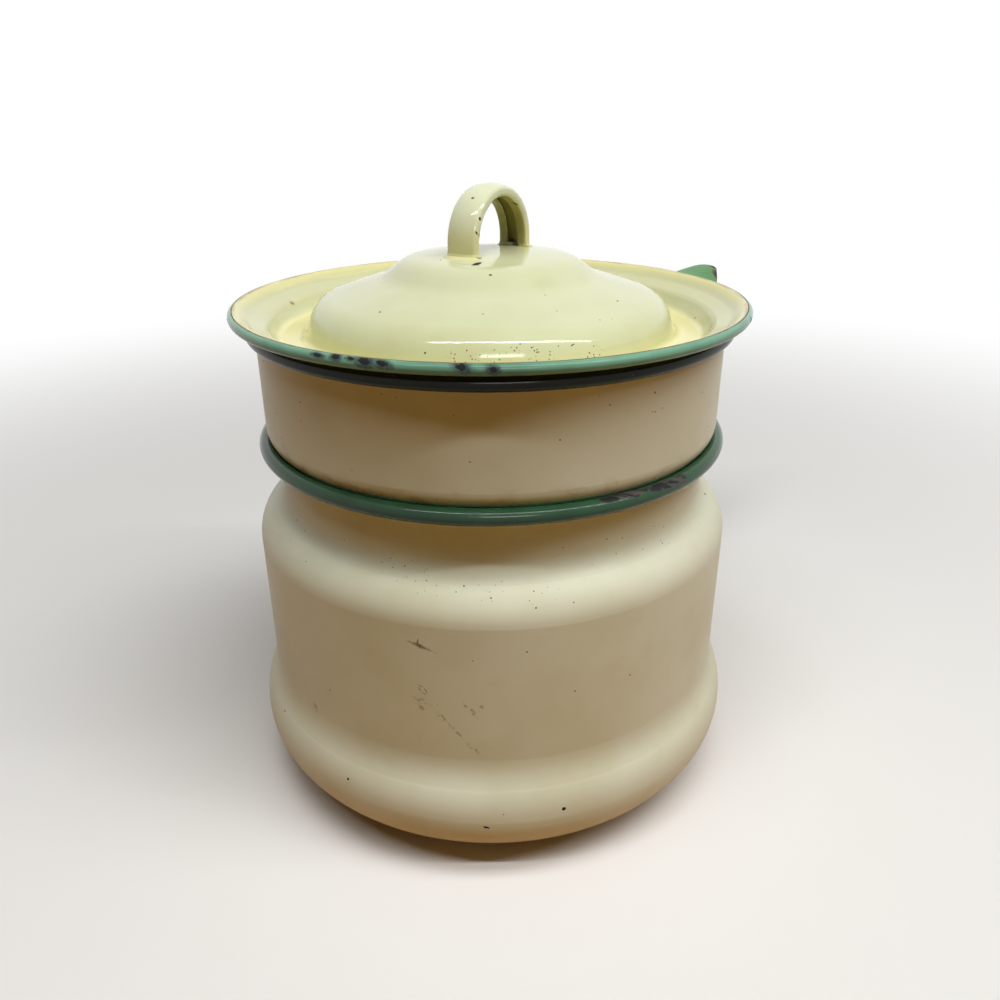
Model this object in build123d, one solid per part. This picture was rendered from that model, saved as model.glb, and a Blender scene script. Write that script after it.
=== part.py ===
from build123d import *
from math import atan2, cos, degrees, radians, sqrt, tan
import os

# A double boiler of enamelled sheet steel: a bulged lower pan, an upper pan that
# stands in its mouth, and a lid with a strap handle. The origin is the centre of
# the flat base, +Z is up and both long handles point along +X. Millimetres.

# Sheets, with the enamel on both faces
pan_sheet = 1.2
lid_sheet = 1.0
strap_sheet = 0.9
grip_sheet = 1.2

# Gaps
seat_gap = 0.3            # between two units where one stands on the other
wire_gap = 0.05           # between a rim wire and the sheet rolled round it
weld_gap = 0.02           # between the strap handle's feet and the crown

# Lower pan, outer surface: its stretches from the neck outwards, then from the base up
neck_r = 78.0
shoulder_width = 10.2
bulge_depth = 5.4
foot_width = 18.1         # of the slope between the flat base and the bulge
foot_rise = 16.4
foot_round = 36.0
bulge_height = 15.1
bulge_round = 20.0
bulge_top_round = 23.0
waist_rise = 10.6
waist_round = 23.0
wall_height = 62.9
shoulder_round = 13.6
shoulder_rise = 6.5
neck_round = 7.8
neck_height = 16.8
flare_round = 3.0
flare_rise = 4.3
lower_rim_reach = 4.2     # of the middle of the rolled rim beyond the neck
lower_rim_tube_r = 2.7

# Upper pan, outer surface
band_setback = 0.3        # of the band from the middle of the lower rim
band_height = 41.0        # from the underside of the step to the middle of the rim
step_round = 8.0
step_inner_round = 2.5
well_gap = 6.8            # between the well and the inside of the lower pan's neck
well_depth = 69.0         # below the underside of the step
well_round = 12.0
upper_rim_tube_r = 2.3

# Lid, upper surface: its stretches from the rim inwards, then those of its crown
lid_overhang = 4.7        # beyond the upper pan's rim
lid_rim_tube_r = 1.8
flange_margin = 3.1       # from the inner side of the upper pan's rim to the foot of the flange
flange_drop = 3.8
flange_round = 3.5
gutter_wall_run = 3.1
gutter_depth = 5.6
gutter_width = 9.5
gutter_round = 3.0
dome_wall_run = 3.5
dome_wall_height = 11.3
dome_round = 11.0
dome_rise = 7.5
crown_foot_round = 12.0
crown_step_run = 8.0
crown_step_rise = 6.2
crown_edge_round = 13.0
crown_slope_run = 14.5
crown_slope_rise = 1.8
crown_round = 90.0
crown_flat_r = 15.0

# Strap handle on the lid
strap_span = 32.8         # between the middles of its two legs
strap_height = 22.0       # above the top of the crown
strap_width = 11.6
strap_depth = 4.4
strap_arch = 1.2          # how far the middle of its outer face stands proud
strap_round = 1.5
strap_slot = 4.6          # between the two edges folded back on its inner side
foot_lift = 1.0           # of the line on each leg where its foot starts to spread
foot_flare = 20           # degrees from upright
foot_toe_share = 0.4      # of the foot's lift, that its spread-out toe takes
foot_toe_flare = 58       # degrees from upright

# Long handles, each a pressed top half closed by a flat plate
grip_half_width = 16.5
grip_side_height = 3.7    # at the root
grip_crown = 4.9          # of the arched top above the sides, where the grip is widest
grip_tip_fall = 2.2       # of the top from the root to the tip
grip_edge_round = 2.0
grip_plate_round = 0.5
grip_rise = 5.0           # of the tip above the root
upper_grip_length = 138.9
upper_grip_lift = 17.2    # of the seam between its two halves above the step, at the root
lower_grip_length = 110.8
lower_grip_lift = 5.9     # of that seam above the foot of the neck
saddle_side = 5.0         # how far a saddle shows on each side of the grip's root
saddle_round = 4.0
upper_saddle_height = 22.0
lower_saddle_height = 10.6

# Plan of a grip from the root: shares of its length, and of its half width
grip_widest_share = 0.64
grip_shares = [(0.0, 0.74), (0.16, 0.62), (0.40, 0.80), (grip_widest_share, 1.0), (0.84, 0.84)]
grip_root_narrowing_share = 0.12    # half width lost for each length along, right at the root
# Its blunt tip: where it starts, back from the end, and how wide it is there, in half widths
grip_tip_shares = (0.38, 0.48)

# How much of a straight run its two rounded corners may take up
run_share = 0.98

# Height of a grip at its root, and the radius of its arched top seen from the end
grip_height = grip_side_height + grip_crown
grip_arch_r = (grip_half_width**2 + grip_crown**2) / (2 * grip_crown)

# Radius of the strap's arched face, across it
strap_arch_r = (strap_width**2 / 4 + strap_arch**2) / (2 * strap_arch)

# Places on the lower pan that follow from these
lower_wall_r = neck_r + shoulder_width
bulge_r = lower_wall_r + bulge_depth
base_corner_r = bulge_r - foot_width
bulge_top_z = foot_rise + bulge_height
waist_z = bulge_top_z + waist_rise
shoulder_z = waist_z + wall_height
neck_foot_z = shoulder_z + shoulder_rise
flare_z = neck_foot_z + neck_height
lower_rim_z = flare_z + flare_rise
lower_rim_ring_r = neck_r + lower_rim_reach

# Places on the upper pan, whose rounded step stands on the lower rim
band_r = lower_rim_ring_r - band_setback
well_r = neck_r - pan_sheet - well_gap
step_centre_r = band_r - step_round
seat_reach = step_round + lower_rim_tube_r + seat_gap
step_centre_z = lower_rim_z + sqrt(seat_reach**2 - (lower_rim_ring_r - step_centre_r) ** 2)
step_z = step_centre_z - step_round
well_z = step_z - well_depth
upper_rim_z = step_z + band_height
upper_rim_ring_r = band_r - pan_sheet + upper_rim_tube_r

# Places on the lid, whose sloping flange rests on the upper rim
lid_rim_ring_r = upper_rim_ring_r + upper_rim_tube_r + lid_overhang - lid_rim_tube_r
flange_inner_r = upper_rim_ring_r - upper_rim_tube_r - flange_margin
gutter_outer_r = flange_inner_r - gutter_wall_run
gutter_inner_r = gutter_outer_r - gutter_width
dome_shoulder_r = gutter_inner_r - dome_wall_run
crown_edge_r = crown_flat_r + crown_slope_run
crown_foot_r = crown_edge_r + crown_step_run
flange_angle = atan2(flange_drop + lid_sheet / 2, lid_rim_ring_r - flange_inner_r)
flange_over_rim = flange_drop - (upper_rim_ring_r - flange_inner_r) * tan(flange_angle)
lid_seat_reach = upper_rim_tube_r + seat_gap + lid_sheet
lid_z = upper_rim_z + flange_over_rim + lid_seat_reach / cos(flange_angle)
gutter_z = lid_z - flange_drop - gutter_depth
dome_shoulder_z = gutter_z + dome_wall_height
crown_foot_z = dome_shoulder_z + dome_rise
crown_edge_z = crown_foot_z + crown_step_rise
crown_z = crown_edge_z + crown_slope_rise


def corner_run(before, corner, after, radius):
    """The length of straight run that a rounded corner takes up on each side of it."""
    turn = (corner - before).get_angle(after - corner)
    return radius * tan(radians(turn) / 2)


def outline(points, radii):
    """Straight runs joined by tangent arcs, each arc limited by the runs beside it."""
    corners = [Vector(*point) for point in points]
    runs = [(after - before).length for before, after in zip(corners, corners[1:])]
    corner_sets = zip(corners, corners[1:], corners[2:], radii)
    used = [corner_run(*corner_set) for corner_set in corner_sets]
    pairs = zip([0] + used, used + [0])
    room = [min(1, run_share * run / sum(pair)) for run, pair in zip(runs, pairs)]
    limited = [radius * min(sides) for radius, sides in zip(radii, zip(room, room[1:]))]
    return FilletPolyline(*corners, radius=limited)


def sheet_section(path, thickness, side):
    """The section of a sheet whose visible surface follows the path."""
    wall = Wire(path.edges()).offset_2d(thickness, Kind.ARC, side=side, closed=True)
    return Sketch() + make_face(wall.edges())


def ring(section):
    """The solid that a section, drawn as radius and height, makes about the vertical axis."""
    return revolve(Plane.XZ * section, Axis.Z)


def drum(radius):
    """A round solid about the vertical axis, as tall as the object and more."""
    return extrude(Circle(radius), crown_z + strap_height)


def rolled_rim(ring_r, height, tube_r, sheet):
    """The rolled sheet of a rim, and the wire inside it."""
    bore_r = tube_r - sheet
    bead = ring(Pos(ring_r, height) * (Circle(tube_r) - Circle(bore_r)))
    wire = ring(Pos(ring_r, height) * Circle(bore_r - wire_gap))
    return bead, wire


def lower_pan_shell():
    path = outline(
        [
            (0, 0),
            (base_corner_r, 0),
            (bulge_r, foot_rise),
            (bulge_r, bulge_top_z),
            (lower_wall_r, waist_z),
            (lower_wall_r, shoulder_z),
            (neck_r, neck_foot_z),
            (neck_r, flare_z),
            (lower_rim_ring_r, lower_rim_z),
        ],
        [
            foot_round,
            bulge_round,
            bulge_top_round,
            waist_round,
            shoulder_round,
            neck_round,
            flare_round,
        ],
    )
    rim = Pos(lower_rim_ring_r, lower_rim_z) * Circle(lower_rim_tube_r)
    return ring(sheet_section(path, pan_sheet, Side.LEFT) - rim)


def upper_pan_shell():
    path = outline(
        [
            (0, well_z),
            (well_r, well_z),
            (well_r, step_z),
            (band_r, step_z),
            (band_r, upper_rim_z),
        ],
        [well_round, step_inner_round, step_round],
    )
    rim = Pos(upper_rim_ring_r, upper_rim_z) * Circle(upper_rim_tube_r)
    return ring(sheet_section(path, pan_sheet, Side.LEFT) - rim)


def lid_outline():
    """The upper surface of the lid, from the middle of its crown to the centre of its rim."""
    return outline(
        [
            (0, crown_z),
            (crown_flat_r, crown_z),
            (crown_edge_r, crown_edge_z),
            (crown_foot_r, crown_foot_z),
            (dome_shoulder_r, dome_shoulder_z),
            (gutter_inner_r, gutter_z),
            (gutter_outer_r, gutter_z),
            (flange_inner_r, lid_z - flange_drop),
            (lid_rim_ring_r, lid_z + lid_sheet / 2),
        ],
        [
            crown_round,
            crown_edge_round,
            crown_foot_round,
            dome_round,
            gutter_round,
            gutter_round,
            flange_round,
        ],
    )


def lid_shell():
    rim = Pos(lid_rim_ring_r, lid_z) * Circle(lid_rim_tube_r)
    return ring(sheet_section(lid_outline(), lid_sheet, Side.RIGHT) - rim)


def below_lid():
    """All that lies under the lid's upper surface and its weld gap, to trim the strap handle with."""
    top = lid_outline()
    sides = Polyline(top @ 1, (lid_rim_ring_r, 0), (0, 0), top @ 0)
    return Pos(0, 0, weld_gap) * ring(make_face(top.edges() + sides.edges()))


def strap_outline(inset):
    """The strap's outline across, drawn in by the inset: X points away from the hoop's middle."""
    half = strap_width / 2 - inset
    face = strap_depth / 2 - inset
    arch_r = strap_arch_r - inset
    edge = face - arch_r + sqrt(arch_r**2 - half**2)
    back = inset - strap_depth / 2
    arch = ThreePointArc((edge, half), (face, 0), (edge, -half))
    sides = Polyline(arch @ 1, (back, -half), (back, half), arch @ 0)
    outline = make_face(arch.edges() + sides.edges())
    side_room = run_share * (edge - back) / 2
    return Sketch() + fillet(outline.vertices(), min(strap_round - inset / 2, side_room))


def strap_section():
    """The strap across, as a channel whose edges are folded back with a slot between them."""
    slot = Pos(-strap_depth / 2, 0) * Rectangle(strap_depth, strap_slot)
    return strap_outline(0) - strap_outline(strap_sheet) - slot


def foot_cone(lift, flare):
    """The foot of a leg from its lift above the crown down into the lid, spread out by its flare."""
    sink = lift + crown_slope_rise
    return extrude(Pos(0, 0, crown_z + lift) * strap_outline(0), -sink, taper=-flare)


def strap_leg(top_z):
    """One straight leg with the enamel that spreads round its foot, both reaching into the lid."""
    toe_lift = foot_toe_share * foot_lift
    spread = foot_cone(foot_lift, foot_flare) + foot_cone(toe_lift, foot_toe_flare)
    leg = Pos(0, 0, crown_edge_z) * extrude(strap_section(), top_z - crown_edge_z)
    return leg + (spread - extrude(strap_outline(0), crown_z + strap_height))


def lid_strap_handle():
    """The hoop: two legs and a half round arch, trimmed to the crown that it is welded to."""
    arch_r = strap_span / 2
    arch_z = crown_z + strap_height - arch_r - strap_depth / 2
    right = Pos(arch_r, 0) * strap_leg(arch_z)
    middle = Axis((0, 0, arch_z), (0, -1, 0))
    arch = revolve(Pos(arch_r, 0, arch_z) * strap_section(), middle, 180)
    return right + mirror(right, Plane.YZ) + arch - below_lid()


def grip_plan(root_r, tip_r, half_width):
    """The outline of a long handle seen from above, with its root carried on into the wall."""
    length = tip_r - root_r
    inner_x = root_r - half_width
    side = [(root_r + along * length, across * half_width) for along, across in grip_shares]
    back, across = grip_tip_shares
    side.append((tip_r - back * half_width, across * half_width))
    tangents = [(1, -grip_root_narrowing_share), (0, -1)]
    edge = Spline(*side, (tip_r, 0), tangents=tangents)
    inner_y = side[0][1] + grip_root_narrowing_share * half_width
    root = Polyline((tip_r, 0), (inner_x, 0), (inner_x, inner_y), side[0])
    half = Sketch() + make_face(edge.edges() + root.edges())
    return half + mirror(half, Plane.XZ)


def grip_block(root_r, tip_r, inset):
    """A grip as a solid block whose arched top comes down towards the tip, drawn in by the inset."""
    top_z = grip_height - inset
    arch_r = grip_arch_r - inset
    half_width = grip_half_width - inset
    taper = degrees(atan2(grip_tip_fall, tip_r - root_r))
    ridge = Pos(root_r, 0, top_z) * Rot(0, taper, 0)
    arch = ridge * Pos(0, 0, -arch_r) * Rot(0, 90, 0) * Cylinder(arch_r, 2 * tip_r)
    block = extrude(grip_plan(root_r, tip_r - inset, half_width), 2 * grip_height) & arch
    top = block.faces().filter_by(GeomType.CYLINDER).sort_by(Axis.Z)[-1]
    sides = top.edges().sort_by(Axis.X)[1:]
    arch_fall = arch_r - sqrt(arch_r**2 - half_width**2)
    side_height = top_z - arch_fall - grip_widest_share * grip_tip_fall
    return fillet(sides, min(grip_edge_round - inset / 2, run_share * side_height))


def long_handle(length, seam_z, wall_r, saddle_height):
    """A hollow handle, the plate that closes it, and the saddle by which it is welded to a wall."""
    root_r = wall_r + grip_sheet
    tip_r = root_r + length
    slope = degrees(atan2(grip_rise, length))
    place = Pos(root_r, 0, seam_z) * Rot(0, -slope, 0) * Pos(-root_r, 0, 0)
    pan = drum(root_r)

    grip = grip_block(root_r, tip_r, 0) - grip_block(root_r, tip_r, grip_sheet)

    plate = extrude(grip_plan(root_r, tip_r, grip_half_width), -grip_sheet)
    lower_edges = [edge for edge in plate.edges().group_by(Axis.Z)[0] if edge.center().X > root_r]
    plate = fillet(lower_edges, grip_plate_round)

    width = 2 * (grip_shares[0][1] * grip_half_width + saddle_side)
    patch = Plane.YZ * RectangleRounded(width, saddle_height, saddle_round)
    patch = Pos(0, 0, seam_z + (grip_height - grip_sheet) / 2) * extrude(patch, root_r)
    saddle = (pan - drum(wall_r)) & patch

    return place * grip - pan, place * plate - pan, saddle


def lower_pan():
    bead, wire = rolled_rim(lower_rim_ring_r, lower_rim_z, lower_rim_tube_r, pan_sheet)
    seam_z = neck_foot_z + lower_grip_lift
    grip, plate, saddle = long_handle(lower_grip_length, seam_z, neck_r, lower_saddle_height)
    return {
        "lower_pan_shell": lower_pan_shell(),
        "lower_rim_bead": bead,
        "lower_rim_wire": wire,
        "lower_handle_grip": grip,
        "lower_handle_base": plate,
        "lower_handle_saddle": saddle,
    }


def upper_pan():
    bead, wire = rolled_rim(upper_rim_ring_r, upper_rim_z, upper_rim_tube_r, pan_sheet)
    seam_z = step_z + upper_grip_lift
    grip, plate, saddle = long_handle(upper_grip_length, seam_z, band_r, upper_saddle_height)
    return {
        "upper_pan_shell": upper_pan_shell(),
        "upper_rim_bead": bead,
        "upper_rim_wire": wire,
        "upper_handle_grip": grip,
        "upper_handle_base": plate,
        "upper_handle_saddle": saddle,
    }


def lid():
    bead, wire = rolled_rim(lid_rim_ring_r, lid_z, lid_rim_tube_r, lid_sheet)
    return {
        "lid_shell": lid_shell(),
        "lid_rim_bead": bead,
        "lid_rim_wire": wire,
        "lid_strap_handle": lid_strap_handle(),
    }


os.makedirs("parts", exist_ok=True)
for name, piece in {**lower_pan(), **upper_pan(), **lid()}.items():
    export_step(piece, f"parts/{name}.step")
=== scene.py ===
import math

import bpy
from mathutils import Matrix, Vector


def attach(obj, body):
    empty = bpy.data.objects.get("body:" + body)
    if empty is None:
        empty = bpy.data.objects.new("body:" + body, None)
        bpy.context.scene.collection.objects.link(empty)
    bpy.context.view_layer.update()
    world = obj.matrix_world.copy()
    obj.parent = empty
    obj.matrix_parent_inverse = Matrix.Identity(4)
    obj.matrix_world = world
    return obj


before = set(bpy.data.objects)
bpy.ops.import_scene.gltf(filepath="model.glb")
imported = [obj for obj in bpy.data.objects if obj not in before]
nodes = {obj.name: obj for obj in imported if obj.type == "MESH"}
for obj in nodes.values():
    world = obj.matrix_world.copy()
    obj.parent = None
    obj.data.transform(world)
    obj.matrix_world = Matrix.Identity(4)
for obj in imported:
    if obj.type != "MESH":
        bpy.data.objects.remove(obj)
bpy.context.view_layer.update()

# The looks of an enamelled double boiler: worn cream enamel, green rims and handles,
# and a primrose lid. Metres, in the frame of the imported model.

lid_rim_wire = nodes["lid_rim_wire"].bound_box
wire_bottom, wire_top = lid_rim_wire[0][2], lid_rim_wire[1][2]
lid_rim_z = (wire_bottom + wire_top) / 2
lid_rim_crest = lid_rim_wire[6][0] - (wire_top - wire_bottom) / 2     # its radius

# Camera, at the photograph's viewing angle
photo_size = 1000                     # pixels each way
focal_length = 850.0                  # pixels
sensor_width = 36.0                   # millimetres, for the whole width of the photograph
camera_distance = 0.3039              # from the pans' axis, measured level
camera_height = 0.2399
handle_turn = math.radians(56.5)      # of the handles, from the camera's right towards its back
camera_yaw = math.radians(0.56)
camera_pitch = math.radians(24.66)    # downwards
camera_roll = math.radians(-0.33)
search_from, search_to = 50, 200      # hundredths of camera_distance, where a pixel misses

# Stage
floor_size = 30.0
floor_fade = (0.25, 0.9)              # distances from the pans' axis between which it turns white
world_light = 0.005
lamp_height = 1.5
lamp_right = 0.3                      # of the lamps' middles, from the pans' axis
tube_size = (0.06, 2.5)               # of a tube lamp that lies along the camera's right
tube_nearer = 0.6                     # towards the camera
tube_power = 15.5
ceiling_nearer = 0.25                 # of a soft light over the object
ceiling_size = (0.35, 1.6)
ceiling_power = 13.5
window_place = (0.12, 1.07, 0.7)      # right, nearer and up
window_size = (0.16, 0.5)
window_power = 2.6


def srgb(red, green, blue):
    """A colour given as 0 to 255, as the linear values that Blender's sockets take."""
    shares = [part / 255 for part in (red, green, blue)]
    return [s / 12.92 if s <= 0.04045 else ((s + 0.055) / 1.055) ** 2.4 for s in shares] + [1.0]


floor_colour = srgb(244, 242, 238)
floor_bounce_colour = srgb(170, 120, 36)
cream = srgb(236, 237, 212)
cream_shade = srgb(226, 225, 194)
inside_white = srgb(228, 227, 214)
primrose = srgb(216, 219, 176)
primrose_shade = srgb(206, 207, 158)
# A brighter copy of the lid's primrose for the hoop: painted sheen
hoop_cream_painted_sheen = srgb(232, 235, 198)
hoop_shade_painted_sheen = srgb(220, 222, 180)
gutter_yellow = srgb(228, 222, 156)
flange_cream = srgb(208, 208, 160)
light_green = srgb(118, 172, 142)
light_green_shade = srgb(92, 142, 116)
dark_green = srgb(44, 88, 56)
dark_green_shade = srgb(34, 66, 44)
# The upper rim's real dark green, made darker than the lower rim's as painted shade from the lid over it
painted_shade_upper_rim_green = srgb(34, 48, 30)
painted_shade_upper_rim_tone = srgb(28, 32, 18)
handle_green = srgb(72, 144, 70)
handle_green_shade = srgb(58, 122, 58)
steel = srgb(120, 120, 124)
dull_steel = srgb(84, 84, 88)
iron = srgb(14, 15, 16)
chip_grey = srgb(42, 54, 52)
rust = srgb(120, 66, 34)
rust_stain = srgb(178, 128, 74)
crest_brown = srgb(160, 112, 44)
crest_dark = srgb(50, 50, 38)
tea_stain = srgb(206, 182, 122)
old_brown = srgb(124, 82, 26)
dull_olive = srgb(168, 160, 84)
olive_stain = srgb(112, 118, 40)
speck_brown = srgb(84, 64, 42)
# Painted shade in the hoop's hollows
painted_shade_brown = srgb(48, 36, 18)
scale_white = srgb(236, 232, 220)
scratch_grey = srgb(74, 70, 66)

# The top of the lid's rolled edge, in metres
roll_width = 0.0055                   # of the stretch over which the flange runs up onto the crest
roll_lift = 0.00002                   # of its top over the rim's crest
roll_sink = 0.0003                    # of its underside into the flange
roll_steps = 12                       # across it
roll_sides = 256                      # round it
roll_sharp = math.radians(35)         # from which an edge is drawn sharp

# Heights above the floor, in metres: where a thing starts, where it ends, and its soft edges
neck_heights = (0.106, 0.122, 0.004)
step_heights = (0.132, 0.142, 0.004)  # of the upper pan's rounded step
well_heights = (0.131, 0.127)         # between which the well below it begins
strap_foot_heights = (0.209, 0.199)   # between which the hoop turns yellow
base_edge_top = 0.007
lower_lime_line = 0.06
upper_lime_line = 0.125
lime_soft = 0.006
lime_wave = 0.004
lime_wave_size = 0.02
tide_width = 0.003

# Radii on the lid, in metres, between which a colour fades in
gutter_starts = (0.063, 0.067)
gutter_ends = (0.0765, 0.0745)
flange_starts = (0.0755, 0.079)
edge_starts = (0.0845, 0.0875)
crest_starts = (0.0876, 0.0888)
lid_wander = 0.0015                   # of these radii
lid_wander_size = 0.02
rim_wander = 0.0008                   # of the lines on the lid's rim
rim_wander_noise = (0.006, 3)         # size and detail
above_soft = 0.0004
inner_soft = 0.0002

# How far a surface faces along a direction, between which a mask fades in
down = (0, 0, -1)
up = (0, 0, 1)
half_facing = (0.02, 0.1)
lying_flat = (0.86, 0.92)
under_base = (0.7, 0.95)
inner_strap = (0.1, 0.6)

# Specular levels, low because the white surroundings are mirrored everywhere
pan_specular = 0.2
rim_specular = 0.3
shaded_rim_specular = 0.15
handle_specular = 0.25

# Clouds of wear: size in metres, detail, and the noise between which they fade in
enamel_depths = [(0.045, 3, 0.42, 0.75), (0.012, 4, 0.55, 0.9)]
base_rust = (0.003, 4, 0.5, 0.6)
stove_stains = (0.03, 5, 0.4, 0.7)
stove_burns = (0.008, 5, 0.62, 0.7)
lime_clouds = (0.006, 4, 0.3, 0.7)
smudge_grains = (0.0014, 5, 0.4, 0.62)
smudge_strength = 0.65
steam_film = (0.012, 4, 0.35, 0.75)
steam_stains = (0.02, 5, 0.5, 0.8)
step_dirt = (0.004, 4, 0.5, 0.8)
crest_wear = (0.014, 4, 0.3, 0.65)
under_stains = (0.02, 5, 0.5, 0.8)
rim_streaks = (0.003, 3, 0.45, 0.75)
scuff_pits = (0.002, 3, 0.46, 0.54)
rubbed_areas = (0.05, 2, 0.58, 0.7)
handle_wear = (0.01, 5, 0.45, 0.75)

# Other noise: size in metres and detail, and the noise between which something shows
haze = (0.02, 4)
haze_roughness = 1.7                  # times that of the enamel
ripples = [(0.03, 0.00008), (0.005, 0.000006)]        # size and height, in metres
base_grain = (0.006, 5)
base_rubbed = (0.34, 0.5)
rim_grain = (0.0016, 4)
grain_shaded = (0.5, 0.75)
grain_scuffed = (0.3, 0.42)
grain_rubbed = (0.54, 0.62)
fine_grain = 0.0006                   # of the edges of marks
coarse_grain = 0.003
wire_grain = 0.002

# Scratches: a turn about Z and how far the lines are drawn out, then as for clouds
scratch_ways = [(0.4, (9, 1, 1)), (1.3, (1, 9, 1)), (2.2, (1, 1, 9))]
scratch_lines = (3, 0.66, 0.72)
scratch_areas = (2, 0.45, 0.7)
scratch_area_size = 12                # times the scratches' size
wall_scratch = 0.0016
handle_scratch = 0.0014

# Dots and chips: spacing and radius in metres, and the share of places that have one
lower_dots = (0.007, 0.0003, 0.3)
shoulder_dots = (0.0018, 0.0003, 0.7)
neck_dots = (0.003, 0.00028, 0.35)
upper_dots = (0.0045, 0.0003, 0.7)
lid_dots = (0.008, 0.0003, 0.25)
lid_front_dots = (0.0011, 0.00032, 0.9)
strap_dots = (0.004, 0.0003, 0.2)
handle_dots = (0.006, 0.0003, 0.4)
pan_chips = (0.03, 0.0006, 0.08)
lid_chips = (0.03, 0.0006, 0.06)
lid_rim_other_chips = (0.016, 0.0014, 0.22)
dark_rim_chips = (0.014, 0.0009, 0.16)
handle_chips = (0.018, 0.0016, 0.3)

# Rings of a chip, by how near its middle is: 0 at its edge and 1 in its middle
chip_halo = (0.0, 0.25)
chip_core = (0.28, 0.4)
chip_shadow = (-0.8, 0.0)
chip_rim = (-0.4, 0.1)
chip_depth = 0.0001
handle_chip_rings = [
    (-0.25, 0.1, rust, 0.6, 0.0),
    (0.1, 0.3, chip_grey, 0.5, -chip_depth),
    (0.35, 0.5, iron, 0.7, -chip_depth),
]

# Lines along the crest of the lid's rim: start, end and softness in metres, wear, colour, roughness
crest_lines = [
    (-0.0005, 0.0005, 0.0003, (0.008, 4, 0.25, 0.5), crest_brown, 0.4),
    (-0.0001, 0.0005, 0.0002, (0.006, 4, 0.25, 0.5), crest_dark, 0.5),
]

# What the photograph shows: x1, y1, x2, y2 in its pixels, and a width in millimetres
lid_rim_chips = [
    (314, 354, 321, 356, 1.3),
    (334, 356, 337, 357, 2.2),
    (348, 358, 353, 359, 1.2),
    (362, 360, 367, 361, 3.2),
    (377, 362, 386, 365, 2.0),
    (458, 366, 465, 368, 2.6),
    (491, 369, 495, 370, 2.3),
    (226, 321, 227, 323, 1.4),
]
lid_specks = [
    (380, 312, 380, 312, 0.9),
    (490, 275, 491, 275, 0.9),
    (617, 301, 618, 301, 0.8),
    (483, 314, 483, 314, 0.6),
    (425, 353, 425, 353, 0.7),
    (441, 260, 441, 260, 0.9),
    (571, 346, 574, 344, 0.4),
    (557, 311, 557, 311, 0.5),
    (545, 295, 545, 295, 0.5),
    (600, 320, 600, 320, 0.5),
    (612, 319, 612, 319, 0.4),
]
lid_dirt = [
    (291, 303, 293, 303, 2.6),
    (695, 318, 695, 318, 1.6),
]
# Painted shade: black in the gap under the hoop's foot
lid_gap_painted_shade = [
    (474, 265, 479, 263, 2.8),
]
# Pooled enamel at the hoop's foot, raised a little and painted white as a highlight
lid_pools_with_painted_highlight = [
    (460, 265, 472, 267, 3.0),
]
lid_speckled = [
    (456, 356, 468, 355, 6.0),
    (480, 357, 500, 356, 5.0),
    (528, 356, 550, 354, 5.0),
    (588, 354, 599, 353, 6.0),
    (515, 349, 530, 348, 4.0),
]
# Olive streaks along the right of the lid's gutter
lid_streaks = [
    (664, 298, 702, 324, 5.0),
    (655, 302, 676, 326, 3.0),
]
flange_stains = [
    (252, 280, 300, 268, 3.0),
    (300, 268, 386, 260, 3.0),
    (690, 290, 735, 320, 4.5),
]
strap_chips = [
    (480, 218, 480, 220, 0.9),
    (479, 234, 480, 242, 0.9),
    (476, 232, 477, 234, 0.7),
    (472, 198, 473, 198, 0.9),
    (512, 202, 518, 205, 0.7),
]
# Painted shade in the hollows at the hoop's feet
strap_hollow_painted_shade = [
    (511, 240, 517, 246, 3.6),
    (474, 264, 480, 262, 1.6),
]
lower_scratches = [
    (404, 639, 436, 653, 1.5),
    (414, 643, 424, 648, 2.2),
    (418, 638, 417, 647, 0.9),
]
lower_squiggle = [
    (417, 684, 424, 688, 0.4),
    (424, 688, 428, 694, 0.4),
    (418, 686, 421, 692, 0.4),
    (421, 692, 427, 695, 0.4),
]
lower_smudges = [
    (414, 697, 431, 705, 2.6),
    (419, 704, 424, 710, 2.4),
    (436, 712, 446, 721, 2.4),
    (446, 721, 466, 742, 1.6),
    (464, 703, 466, 707, 1.8),
    (470, 708, 478, 718, 2.4),
    (480, 703, 483, 712, 1.8),
    (466, 742, 482, 756, 2.2),
]
lower_olive_smudges = [
    (315, 702, 316, 712, 3.6),
]
lower_chips = [
    (348, 779, 348, 779, 1.1),
    (564, 809, 564, 809, 1.6),
    (484, 827, 489, 828, 1.0),
    (705, 494, 705, 494, 1.2),
]
lower_specks = [
    (527, 652, 527, 652, 0.7),
    (575, 691, 575, 691, 0.7),
    (630, 675, 630, 675, 0.8),
    (464, 586, 464, 586, 0.7),
    (491, 598, 491, 598, 0.7),
    (536, 608, 536, 608, 0.7),
    (330, 690, 330, 690, 0.6),
    (285, 711, 285, 711, 0.9),
]
# Painted highlights: small white glints on the lower pan's shoulder
lower_painted_glints = [
    (372, 599, 378, 600, 0.7),
    (385, 560, 390, 562, 0.7),
    (481, 590, 489, 591, 1.0),
]
shoulder_speckled = [
    (400, 575, 480, 595, 14.0),
    (480, 595, 560, 590, 12.0),
    (380, 560, 440, 580, 12.0),
]
band_stains = [
    (272, 455, 330, 482, 9.0),
    (330, 482, 400, 496, 6.0),
]
band_specks = [
    (300, 402, 300, 402, 0.5),
    (352, 470, 352, 470, 0.4),
    (560, 440, 560, 440, 0.5),
    (610, 405, 610, 405, 0.5),
    (655, 392, 655, 393, 0.5),
    (470, 462, 470, 462, 0.5),
]
lower_rim_scuffs = [
    (598, 501, 648, 490, 4.2),
    (648, 490, 688, 477, 4.2),
]
handle_tip_chips = [
    (714, 266, 717, 272, 5.0),
    (716, 272, 717, 278, 5.0),
]


# Camera

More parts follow.
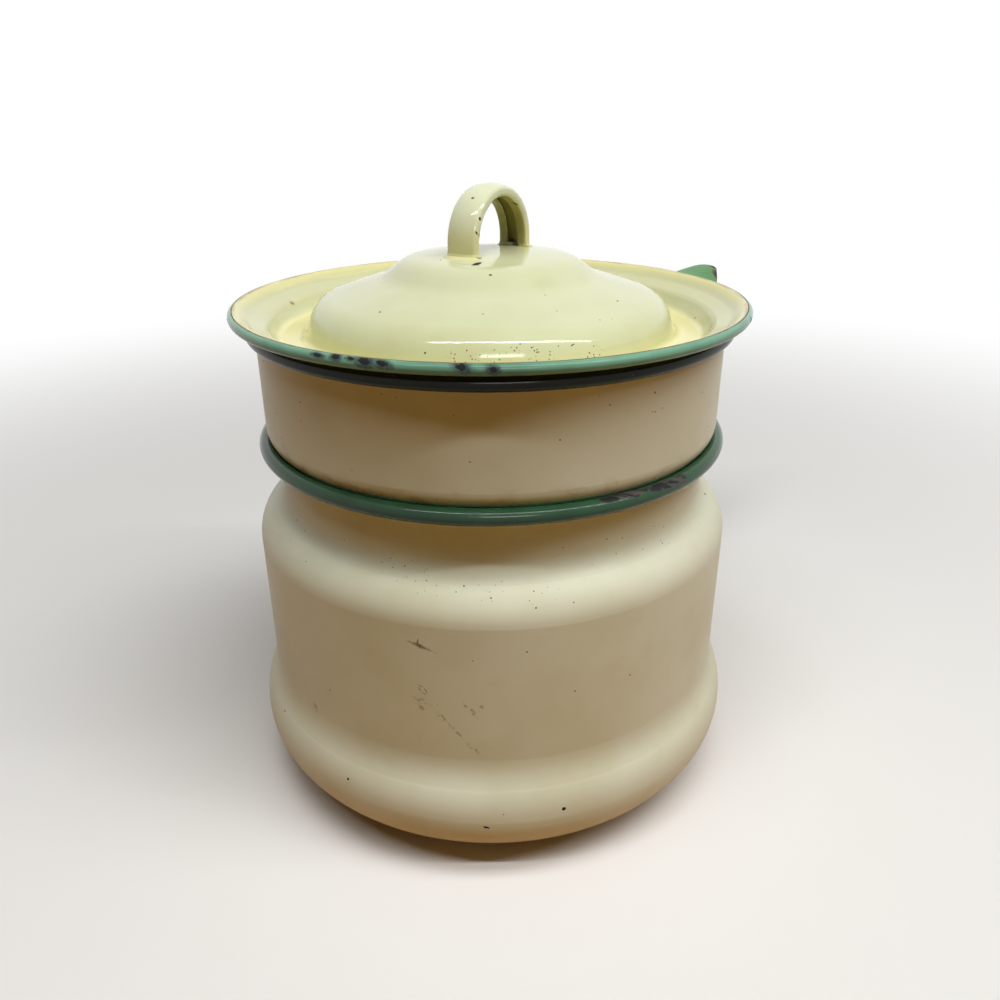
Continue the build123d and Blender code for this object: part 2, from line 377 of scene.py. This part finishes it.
def camera_axes():
    """Which way the camera's right, up and forward point."""
    heading = handle_turn + camera_yaw
    level = Vector((math.cos(heading), -math.sin(heading), 0))
    forward = Vector((math.sin(heading), math.cos(heading), -math.tan(camera_pitch))).normalized()
    upright = level.cross(forward)
    right = math.cos(camera_roll) * level + math.sin(camera_roll) * upright
    return right, right.cross(forward), forward


camera_right, camera_up, camera_forward = camera_axes()
camera_place = Vector((
    -camera_distance * math.sin(handle_turn),
    -camera_distance * math.cos(handle_turn),
    camera_height,
))


def add_camera():
    data = bpy.data.cameras.new("photo_camera")
    data.sensor_width = sensor_width
    data.lens = focal_length / photo_size * sensor_width
    data.clip_start = 0.01
    camera = bpy.data.objects.new("photo_camera", data)
    bpy.context.scene.collection.objects.link(camera)
    turn = Matrix((camera_right, camera_up, -camera_forward)).transposed()
    camera.matrix_world = Matrix.Translation(camera_place) @ turn.to_4x4()
    bpy.context.scene.camera = camera


def seen_at(node, x, y):
    """The point of a CAD node that lies under a pixel of the photograph, or nearest to it."""
    half = photo_size / 2
    across = (x - half) / focal_length * camera_right
    ray = camera_forward + across + (half - y) / focal_length * camera_up
    hit, point, normal, face = nodes[node].ray_cast(camera_place, ray.normalized())
    if hit:
        return point
    best = None
    for share in range(search_from, search_to):
        beside = camera_place + ray * (share / 100 * camera_distance)
        found, near, normal, face = nodes[node].closest_point_on_mesh(beside)
        gap = (near - beside).length / ray.length / share
        if best is None or gap < best[0]:
            best = (gap, near)
    return best[1]


# Nodes of materials and of the world

class Nodes:
    """A node tree that grows a node at a time. Sizes are in metres."""

    def __init__(self, tree):
        self.tree = tree
        self.place = self.put("ShaderNodeTexCoord").outputs["Object"]

    def put(self, kind, inputs=None, **settings):
        """A new node with its settings, and what its inputs take: values or other nodes' outputs."""
        node = self.tree.nodes.new(kind)
        for setting, value in settings.items():
            setattr(node, setting, value)
        for socket, value in (inputs or {}).items():
            if isinstance(value, bpy.types.NodeSocket):
                self.tree.links.new(value, node.inputs[socket])
            else:
                node.inputs[socket].default_value = value
        return node

    def math(self, operation, *values):
        return self.put("ShaderNodeMath", dict(enumerate(values)), operation=operation).outputs[0]

    def vector(self, operation, *values):
        node = self.put("ShaderNodeVectorMath", dict(enumerate(values)), operation=operation)
        return node.outputs["Value" if operation in ("LENGTH", "DOT_PRODUCT") else "Vector"]

    def mix(self, mask, value, other):
        return self.put("ShaderNodeMix", {0: mask, 2: value, 3: other}).outputs[0]

    def blend(self, mask, colour, other):
        node = self.put("ShaderNodeMix", {0: mask, 6: colour, 7: other}, data_type="RGBA")
        return node.outputs[2]

    def both(self, mask, other):
        return self.math("MULTIPLY", mask, other)

    def either(self, mask, other):
        return self.math("MAXIMUM", mask, other)

    def step(self, value, low, high):
        """0 below low, 1 above high, and smooth between them. It falls where low is above high."""
        inputs = {"Value": value, "From Min": low, "From Max": high}
        return self.put("ShaderNodeMapRange", inputs, interpolation_type="SMOOTHSTEP").outputs[0]

    def band(self, value, start, end, soft):
        """1 between start and end, with soft edges inside them."""
        rising = self.step(value, start, start + soft)
        return self.both(rising, self.step(value, end, end - soft))

    def noise(self, size, detail=2.0, stretch=(1, 1, 1), place=None):
        """Smooth noise from 0 to 1, with features about as large as size, drawn out by stretch."""
        squeezed = [1 / times for times in stretch]
        where = self.vector("MULTIPLY", place or self.place, squeezed)
        inputs = {"Vector": where, "Scale": 1 / size, "Detail": detail}
        return self.put("ShaderNodeTexNoise", inputs).outputs["Fac"]

    def clouds(self, kind, stretch=(1, 1, 1), place=None):
        """A mask of one of the kinds of clouds listed above."""
        size, detail, low, high = kind
        return self.step(self.noise(size, detail, stretch, place), low, high)

    def scattered(self, spacing, radius, share, ragged=0.2):
        """How near the surface is to spots in a share of the cells of a jumbled grid.

        It is 1 in the middle of a spot, and 0 or less outside.
        """
        cells = self.put("ShaderNodeTexVoronoi", {"Vector": self.place, "Scale": 1 / spacing})
        chance = self.put("ShaderNodeSeparateColor", {"Color": cells.outputs["Color"]}).outputs[0]
        reach = self.math("MULTIPLY", cells.outputs["Distance"], spacing / radius)
        wobble = self.math("MULTIPLY", self.math("SUBTRACT", self.noise(radius), 0.5), 2 * ragged)
        left_out = self.math("GREATER_THAN", chance, share)
        near = self.math("SUBTRACT", 1.0, self.math("ADD", reach, wobble))
        return self.math("SUBTRACT", near, left_out)

    def dots(self, spacing, radius, share):
        return self.step(self.scattered(spacing, radius, share), 0, 0.5)

    def part(self, axis):
        """One of the coordinates X, Y and Z."""
        return self.put("ShaderNodeSeparateXYZ", {"Vector": self.place}).outputs[axis]

    def radius(self):
        """The distance from the pans' axis."""
        return self.vector("LENGTH", self.vector("MULTIPLY", self.place, (1, 1, 0)))

    def unrolled(self):
        """A place on a ring laid out flat: how far round it, and the height."""
        turn = self.math("ARCTAN2", self.part("Y"), self.part("X"))
        around = self.math("MULTIPLY", turn, self.radius())
        return self.put("ShaderNodeCombineXYZ", {"X": around, "Z": self.part("Z")}).outputs[0]

    def facing(self, direction):
        """How far the surface faces along a direction: 1 fully, and -1 the other way."""
        normal = self.put("ShaderNodeNewGeometry").outputs["Normal"]
        return self.vector("DOT_PRODUCT", normal, direction)

    def inside_pan(self):
        """1 on what faces the pans' axis or straight up, as the inside of a pan does."""
        inwards = self.vector("NORMALIZE", self.vector("MULTIPLY", self.place, (-1, -1, 0)))
        wall = self.step(self.facing(inwards), *half_facing)
        return self.either(wall, self.step(self.facing(up), *lying_flat))

    def seen_rays(self):
        """1 for rays that show a thing, also in a mirror or through glass, 0 for those that light it."""
        rays = self.put("ShaderNodeLightPath").outputs
        seen = self.either(rays["Is Camera Ray"], rays["Is Glossy Ray"])
        return self.either(seen, rays["Is Transmission Ray"])


class Finish(Nodes):
    """A surface built up in layers, each with a mask that says where it shows."""

    def __init__(self, name, colour, roughness):
        self.material = bpy.data.materials.new(name)
        self.material.use_nodes = True
        super().__init__(self.material.node_tree)
        self.shader = self.tree.nodes["Principled BSDF"]
        self.colour = colour
        self.roughness = roughness
        self.height = 0.0

    def near_marks(self, node, table, ragged=0.35, grain=0.0012):
        """How near the surface is to the closest of some marks: 1 in its middle, 0 or less outside.

        Each mark is the two pixels of the photograph where it ends, and its width in millimetres.
        """
        nearest = None
        for x1, y1, x2, y2, width in table:
            start, end = seen_at(node, x1, y1), seen_at(node, x2, y2)
            half_width = width / 2000
            along = end - start
            inputs = {
                "Vector": self.place,
                "Location": (start + end) / 2,
                "Rotation": along.to_track_quat("X", "Z").to_euler() if along.length else (0, 0, 0),
                "Scale": (along.length / 2 + half_width, half_width, half_width),
            }
            moved = self.put("ShaderNodeMapping", inputs, vector_type="TEXTURE").outputs[0]
            reach = self.vector("LENGTH", moved)
            nearest = reach if nearest is None else self.math("MINIMUM", nearest, reach)
        wobble = self.math("MULTIPLY", self.math("SUBTRACT", self.noise(grain), 0.5), 2 * ragged)
        return self.math("SUBTRACT", 1.0, self.math("ADD", nearest, wobble))

    def layer(self, mask, colour=None, roughness=None, height=0.0, strength=None):
        """What shows where the mask is 1: a colour, a roughness, and a height in metres."""
        if strength is not None:
            mask = self.both(mask, strength)
        if colour is not None:
            self.colour = self.blend(mask, self.colour, colour)
        if roughness is not None:
            self.roughness = self.mix(mask, self.roughness, roughness)
        if height:
            self.height = self.math("ADD", self.height, self.math("MULTIPLY", mask, height))

    def marked(self, node, table, soft, **edge):
        """A mask of marks that fade in over the soft share of their half width."""
        return self.step(self.near_marks(node, table, **edge), 0, soft)

    def marks(self, node, table, colour, soft=0.3, **layer):
        """A layer of marks."""
        self.layer(self.marked(node, table, soft), colour, **layer)

    def chips(self, near, halo=chip_grey):
        """Enamel broken away down to a grey ground, and to black iron in the middle."""
        self.layer(self.step(near, *chip_halo), halo, roughness=0.4, height=-chip_depth)
        self.layer(self.step(near, *chip_core), iron, roughness=0.8, height=-chip_depth)

    def set(self, socket, value):
        if isinstance(value, bpy.types.NodeSocket):
            self.tree.links.new(value, self.shader.inputs[socket])
        else:
            self.shader.inputs[socket].default_value = value

    def done(self):
        self.set("Base Color", self.colour)
        self.set("Roughness", self.roughness)
        if isinstance(self.height, bpy.types.NodeSocket):
            inputs = {"Height": self.height, "Strength": 1.0, "Distance": 1.0}
            bump = self.put("ShaderNodeBump", inputs)
            self.set("Normal", bump.outputs[0])
        return self.material


# Floor, world and lamps

def add_floor():
    """A pale floor that turns white further off, and throws warm light back as a table does."""
    half = floor_size / 2
    mesh = bpy.data.meshes.new("floor")
    corners = [(-half, -half, 0), (half, -half, 0), (half, half, 0), (-half, half, 0)]
    mesh.from_pydata(corners, [], [(0, 1, 2, 3)])
    floor = bpy.data.objects.new("floor", mesh)
    bpy.context.scene.collection.objects.link(floor)
    finish = Finish("floor", floor_colour, 0.9)
    seen = finish.seen_rays()
    finish.colour = finish.blend(seen, floor_bounce_colour, floor_colour)
    finish.set("Specular IOR Level", 0.0)
    far = finish.both(seen, finish.step(finish.radius(), *floor_fade))
    white = finish.put("ShaderNodeEmission").outputs[0]
    mix = finish.put("ShaderNodeMixShader", {0: far, 1: finish.shader.outputs[0], 2: white})
    finish.tree.links.new(mix.outputs[0], finish.tree.nodes["Material Output"].inputs["Surface"])
    mesh.materials.append(finish.done())


def add_world():
    world = bpy.data.worlds.new("studio")
    world.use_nodes = True
    bpy.context.scene.world = world
    parts = Nodes(world.node_tree)
    background = world.node_tree.nodes["Background"]
    background.inputs["Color"].default_value = (1, 1, 1, 1)
    strength = parts.mix(parts.seen_rays(), world_light, 1.0)
    world.node_tree.links.new(strength, background.inputs["Strength"])


def add_lamp(name, place, size, power):
    """A flat lamp shining at the object, which doesn't show itself to the camera.

    Its place is how far it is towards the camera's right, nearer to the camera, and up.
    Its size is its width and its length.
    """
    data = bpy.data.lights.new(name, "AREA")
    data.shape = "RECTANGLE"
    data.size_y, data.size = size
    data.energy = power
    lamp = bpy.data.objects.new(name, data)
    bpy.context.scene.collection.objects.link(lamp)
    right = Vector((math.cos(handle_turn), -math.sin(handle_turn), 0))
    nearer = Vector((-math.sin(handle_turn), -math.cos(handle_turn), 0))
    centre = place[0] * right + place[1] * nearer + Vector((0, 0, place[2]))
    back = centre.normalized()
    across = (right - right.dot(back) * back).normalized()
    turn = Matrix((across, back.cross(across), back)).transposed()
    lamp.matrix_world = Matrix.Translation(centre) @ turn.to_4x4()
    lamp.visible_camera = False
    return lamp


def add_lamps():
    add_lamp("tube", (lamp_right, tube_nearer, lamp_height), tube_size, tube_power)
    window = add_lamp("window", window_place, window_size, window_power)
    window.visible_diffuse = False
    over = (lamp_right, ceiling_nearer, lamp_height)
    ceiling = add_lamp("ceiling", over, ceiling_size, ceiling_power)
    ceiling.visible_glossy = False


# The lid's rolled edge

def flange_top(radius):
    """How high the upper face of the lid's flange is, that far from the pans' axis."""
    above = Vector((radius, 0, nodes["lid_rim_bead"].bound_box[1][2] + roll_width))
    hit, point, normal, face = nodes["lid_shell"].ray_cast(above, Vector((0, 0, -1)))
    return point.z


def roll_section():
    """The section of the rolled edge's top, as pairs of a radius and a height."""
    start = lid_rim_crest - roll_width
    start_z = flange_top(start)
    slope = start_z - flange_top(start - roll_width / roll_steps)
    crest_z = nodes["lid_rim_bead"].bound_box[1][2] + roll_lift
    section = [(start, start_z - roll_sink)]
    for step in range(roll_steps + 1):
        t = step / roll_steps
        rise = t * t * (3 - 2 * t)
        run = t * (1 - t) ** 2
        z = start_z + rise * (crest_z - start_z) + run * slope * roll_steps
        section.append((start + t * roll_width, z))
    section.append((lid_rim_crest, lid_rim_z + roll_sink))
    return section


def add_lid_roll(finish):
    """The enamelled sheet runs up smoothly onto the crest of the lid's rolled rim."""
    section = roll_section()
    corners = []
    for side in range(roll_sides):
        turn = 2 * math.pi * side / roll_sides
        corners += [(radius * math.cos(turn), radius * math.sin(turn), z) for radius, z in section]
    faces = []
    for side in range(roll_sides):
        here = side * len(section)
        there = (side + 1) % roll_sides * len(section)
        for low in range(len(section)):
            high = (low + 1) % len(section)
            faces.append((here + low, here + high, there + high, there + low))
    mesh = bpy.data.meshes.new("lid_roll")
    mesh.from_pydata(corners, [], faces)
    mesh.shade_smooth()
    mesh.set_sharp_from_angle(angle=roll_sharp)
    mesh.materials.append(finish)
    roll = bpy.data.objects.new("lid_roll", mesh)
    bpy.context.scene.collection.objects.link(roll)
    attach(roll, "lid")


# Finishes

def enamel(name, colour, shade, roughness):
    """Glassy enamel with what all old enamel has: uneven depth, hazy wear and ripples."""
    finish = Finish(name, colour, roughness)
    for depth in enamel_depths:
        finish.layer(finish.clouds(depth), shade)
    finish.layer(finish.noise(*haze), roughness=roughness * haze_roughness)
    for size, height in ripples:
        finish.layer(finish.noise(size), height=height)
    return finish


def scratches(finish, size, colour, roughness, strength):
    """Fine scratches every which way, thick in some places and missing in others."""
    for turn, drawn in scratch_ways:
        inputs = {"Vector": finish.place, "Angle": turn}
        turned = finish.put("ShaderNodeVectorRotate", inputs).outputs[0]
        lines = finish.clouds((size, *scratch_lines), stretch=drawn, place=turned)
        there = finish.clouds((size * scratch_area_size, *scratch_areas))
        finish.layer(finish.both(lines, there), colour, roughness, strength=strength)


def worn_base(finish, outside):
    """The bottom edge, rubbed through to the dark ground, with stove marks under it."""
    low = finish.both(outside, finish.step(finish.part("Z"), base_edge_top, 0.0))
    rubbed = finish.step(finish.both(low, finish.noise(*base_grain)), *base_rubbed)
    finish.layer(rubbed, chip_grey, roughness=0.5)
    finish.layer(finish.both(rubbed, finish.clouds(base_rust)), rust, roughness=0.7)
    under = finish.both(outside, finish.step(finish.facing(down), *under_base))
    finish.layer(finish.both(under, finish.clouds(stove_stains)), tea_stain, roughness=0.4)
    finish.layer(finish.both(under, finish.clouds(stove_burns)), old_brown, roughness=0.5)


def pan_inside(finish, lime_line):
    """White inside, with a band of lime where the water stood, and a brown tide mark over it.

    Gives back a mask that is 1 on the outside.
    """
    inside = finish.inside_pan()
    finish.layer(inside, inside_white)
    wave = finish.math("MULTIPLY", finish.noise(lime_wave_size), lime_wave)
    level = finish.math("ADD", finish.part("Z"), wave)
    lime = finish.both(finish.band(level, 0.0, lime_line, lime_soft), finish.clouds(lime_clouds))
    finish.layer(finish.both(inside, lime), scale_white, roughness=0.6)
    tide = finish.band(level, lime_line - tide_width, lime_line, tide_width / 2)
    finish.layer(finish.both(inside, tide), tea_stain, roughness=0.5)
    return finish.math("SUBTRACT", 1.0, inside)


def lower_pan_finish():
    pan = "lower_pan_shell"
    finish = enamel("lower_pan_enamel", cream, cream_shade, roughness=0.3)
    finish.set("Specular IOR Level", pan_specular)
    outside = pan_inside(finish, lower_lime_line)
    finish.layer(finish.dots(*lower_dots), speck_brown)
    speckled = finish.marked(pan, shoulder_speckled, soft=0.9)
    finish.layer(finish.both(speckled, finish.dots(*shoulder_dots)), speck_brown)
    neck = finish.band(finish.part("Z"), *neck_heights)
    finish.layer(finish.both(neck, finish.dots(*neck_dots)), speck_brown)
    scratches(finish, wall_scratch, cream_shade, roughness=0.45, strength=0.25)
    smudged = finish.both(finish.clouds(smudge_grains), smudge_strength)
    finish.marks(pan, lower_smudges, old_brown, soft=1.0, strength=smudged)
    finish.marks(pan, lower_olive_smudges, olive_stain, soft=1.0, strength=smudged)
    finish.marks(pan, lower_scratches, old_brown, soft=0.9, strength=0.9)
    finish.marks(pan, lower_squiggle, iron, soft=0.7, strength=0.8)
    # Painted highlights, in the inside's white
    finish.marks(pan, lower_painted_glints, inside_white, roughness=0.1)
    finish.marks(pan, lower_specks, speck_brown, strength=0.8)
    finish.chips(finish.near_marks(pan, lower_chips, grain=fine_grain), halo=speck_brown)
    finish.chips(finish.scattered(*pan_chips))
    worn_base(finish, outside)
    return finish.done()


def upper_pan_finish():
    pan = "upper_pan_shell"
    finish = enamel("upper_pan_enamel", cream, cream_shade, roughness=0.25)
    finish.set("Specular IOR Level", pan_specular)
    outside = pan_inside(finish, upper_lime_line)
    finish.layer(finish.dots(*upper_dots), speck_brown)
    well = finish.both(outside, finish.step(finish.part("Z"), *well_heights))
    film = finish.both(well, finish.clouds(steam_film, stretch=(1, 1, 3)))
    finish.layer(film, scale_white, roughness=0.6, strength=0.6)
    steamed = finish.both(well, finish.clouds(steam_stains, stretch=(1, 1, 2)))
    finish.layer(steamed, tea_stain, roughness=0.5, strength=0.4)
    finish.marks(pan, band_stains, rust_stain, soft=1.0, strength=0.5)
    finish.marks(pan, band_specks, speck_brown)
    step = finish.band(finish.part("Z"), *step_heights)
    dirty = finish.both(step, finish.clouds(step_dirt, stretch=(2, 2, 1)))
    finish.layer(dirty, rust_stain, strength=0.6)
    scratches(finish, wall_scratch, cream_shade, roughness=0.4, strength=0.25)
    finish.chips(finish.scattered(*pan_chips))
    return finish.done()


def lid_finish():
    lid = "lid_shell"
    finish = enamel("lid_enamel", primrose, primrose_shade, roughness=0.08)
    wander = finish.math("MULTIPLY", finish.noise(lid_wander_size), lid_wander)
    radius = finish.math("ADD", finish.radius(), wander)
    finish.layer(finish.step(radius, *flange_starts), flange_cream)
    gutter = finish.both(finish.step(radius, *gutter_starts), finish.step(radius, *gutter_ends))
    finish.layer(gutter, gutter_yellow)
    finish.layer(finish.step(radius, *edge_starts), gutter_yellow)
    finish.marks(lid, flange_stains, gutter_yellow, soft=1.0, strength=0.8)
    crest = finish.both(finish.step(radius, *crest_starts), finish.clouds(crest_wear))
    finish.layer(crest, crest_brown, roughness=0.2, strength=0.75)
    finish.marks(lid, lid_streaks, dull_olive, soft=1.0, strength=0.5)
    finish.layer(finish.dots(*lid_dots), speck_brown)
    finish.marks(lid, lid_specks, speck_brown)
    finish.marks(lid, lid_dirt, old_brown, soft=0.9, strength=0.85)
    # Pooled enamel, painted white as a highlight
    finish.marks(lid, lid_pools_with_painted_highlight, inside_white, soft=0.9, strength=0.8, height=0.0003)
    # Painted shade in the gap under the hoop's foot, in iron's black
    finish.marks(lid, lid_gap_painted_shade, iron, soft=0.4, roughness=0.7)
    speckled = finish.marked(lid, lid_speckled, soft=0.4)
    finish.layer(finish.both(speckled, finish.dots(*lid_front_dots)), old_brown)
    scratches(finish, wall_scratch, primrose_shade, roughness=0.2, strength=0.2)
    under = finish.step(finish.facing(down), *half_facing)
    finish.layer(under, inside_white, roughness=0.2)
    stained = finish.both(under, finish.clouds(under_stains))
    finish.layer(stained, tea_stain, roughness=0.4, strength=0.4)
    finish.chips(finish.scattered(*lid_chips))
    return finish.done()


def strap_finish():
    """The hoop on the lid, lightened as painted sheen: yellower low down and on its inner side, painted
    shade in its hollows.
    """
    strap = "lid_strap_handle"
    finish = enamel("strap_enamel_painted_sheen", hoop_cream_painted_sheen, hoop_shade_painted_sheen, roughness=0.08)
    low = finish.step(finish.part("Z"), *strap_foot_heights)
    finish.layer(low, gutter_yellow, strength=0.85)
    towards = finish.vector("SUBTRACT", node_middle(strap), finish.place)
    inwards = finish.vector("NORMALIZE", towards)
    # Olive on the hoop's inner faces
    finish.layer(finish.step(finish.facing(inwards), *inner_strap), dull_olive, roughness=0.25)
    # Painted shade in its hollows
    finish.marks(strap, strap_hollow_painted_shade, painted_shade_brown, soft=0.5, roughness=0.7)
    finish.layer(finish.dots(*strap_dots), speck_brown)
    finish.chips(finish.near_marks(strap, strap_chips, grain=fine_grain), halo=old_brown)
    return finish.done()


def node_middle(node):
    """The middle of a CAD node's box."""
    corners = [Vector(corner) for corner in nodes[node].bound_box]
    return sum(corners, Vector()) / len(corners)


def lid_rim_finish():
    """Green outside and below, the lid's yellow inside, and a worn brown line along the crest."""
    rim = "lid_rim_bead"
    finish = enamel("lid_rim_enamel", light_green, light_green_shade, roughness=0.12)
    finish.set("Specular IOR Level", rim_specular)
    streaks = finish.clouds(rim_streaks, stretch=(6, 1, 1), place=finish.unrolled())
    finish.layer(streaks, light_green_shade, strength=0.5)
    uneven = finish.math("SUBTRACT", finish.noise(*rim_wander_noise), 0.5)
    radius = finish.math("ADD", finish.radius(), finish.math("MULTIPLY", uneven, rim_wander))
    above = finish.step(finish.part("Z"), lid_rim_z - above_soft, lid_rim_z + above_soft)
    inwards = finish.step(radius, lid_rim_crest + inner_soft, lid_rim_crest - inner_soft)
    finish.layer(finish.both(above, inwards), gutter_yellow)
    for start, end, soft, wear, colour, roughness in crest_lines:
        line = finish.band(radius, lid_rim_crest + start, lid_rim_crest + end, soft)
        finish.layer(finish.both(finish.both(above, line), finish.clouds(wear)), colour, roughness)
    near = finish.near_marks(rim, lid_rim_chips, ragged=0.55)
    finish.layer(finish.step(near, *chip_shadow), chip_grey, roughness=0.3, strength=0.75)
    finish.chips(near)
    other = finish.scattered(*lid_rim_other_chips, ragged=0.4)
    finish.layer(finish.step(other, *chip_rim), chip_grey, roughness=0.3)
    finish.chips(other)
    return finish.done()


def dark_rim_finish(name, colour, shade, specular, scuffs=()):
    """The dark enamel of a pan's rim, scuffed to the metal at some places and chipped in others."""
    finish = enamel(name, colour, shade, roughness=0.13)
    finish.set("Specular IOR Level", specular)
    flat = finish.unrolled()
    fine = finish.noise(*rim_grain, stretch=(5, 1, 1), place=flat)
    finish.layer(finish.step(fine, *grain_shaded), shade, strength=0.5)
    if scuffs:
        scuffed = finish.marked("lower_rim_bead", scuffs, soft=0.4, ragged=0.6, grain=coarse_grain)
        bare = finish.both(scuffed, finish.step(fine, *grain_scuffed))
        finish.layer(bare, scratch_grey, roughness=0.5)
        pits = finish.clouds(scuff_pits, stretch=(2, 1, 1), place=flat)
        finish.layer(finish.both(scuffed, pits), iron, roughness=0.6)
    rubbed = finish.both(finish.clouds(rubbed_areas), finish.step(fine, *grain_rubbed))
    finish.layer(rubbed, shade, roughness=0.45)
    finish.chips(finish.scattered(*dark_rim_chips, ragged=0.4))
    return finish.done()


def handle_finish():
    """Green handles, knocked bare and rusty at the upper grip's tip and in chips scattered over them."""
    grip = "upper_handle_grip"
    finish = enamel("handle_enamel", handle_green, handle_green_shade, roughness=0.3)
    finish.set("Specular IOR Level", handle_specular)
    scratches(finish, handle_scratch, handle_green_shade, roughness=0.35, strength=0.5)
    worn = finish.clouds(handle_wear, stretch=(3, 1, 1))
    finish.layer(worn, handle_green_shade, roughness=0.45, strength=0.7)
    finish.layer(finish.dots(*handle_dots), rust)
    near = finish.near_marks(grip, handle_tip_chips, ragged=0.6, grain=coarse_grain)
    other = finish.scattered(*handle_chips, ragged=0.5)
    for chipped in (near, other):
        for start, end, colour, roughness, height in handle_chip_rings:
            finish.layer(finish.step(chipped, start, end), colour, roughness, height)
    return finish.done()


def wire_finish():
    finish = Finish("drawn_wire", steel, 0.4)
    finish.set("Metallic", 1.0)
    finish.layer(finish.noise(wire_grain, stretch=(1, 1, 6)), dull_steel, roughness=0.55)
    return finish.done()


def dress():
    """Gives every CAD node its finish."""
    handle = handle_finish()
    wire = wire_finish()
    finishes = {
        "lower_pan_shell": lower_pan_finish(),
        "upper_pan_shell": upper_pan_finish(),
        "lid_shell": lid_finish(),
        "lid_strap_handle": strap_finish(),
        "lid_rim_bead": lid_rim_finish(),
        "lower_rim_bead": dark_rim_finish(
            "lower_rim_enamel", dark_green, dark_green_shade, rim_specular, lower_rim_scuffs
        ),
        # Its colours are the rim's dark green, darkened as painted shade from the lid over it
        "upper_rim_bead": dark_rim_finish(
            "upper_rim_enamel_painted_shade", painted_shade_upper_rim_green, painted_shade_upper_rim_tone, shaded_rim_specular
        ),
    }
    add_lid_roll(finishes["lid_shell"])
    for name, node in nodes.items():
        finish = finishes.get(name) or (wire if name.endswith("wire") else handle)
        node.data.materials.clear()
        node.data.materials.append(finish)


add_camera()
add_floor()
add_world()
add_lamps()
dress()

bpy.context.scene.view_settings.view_transform = "Standard"
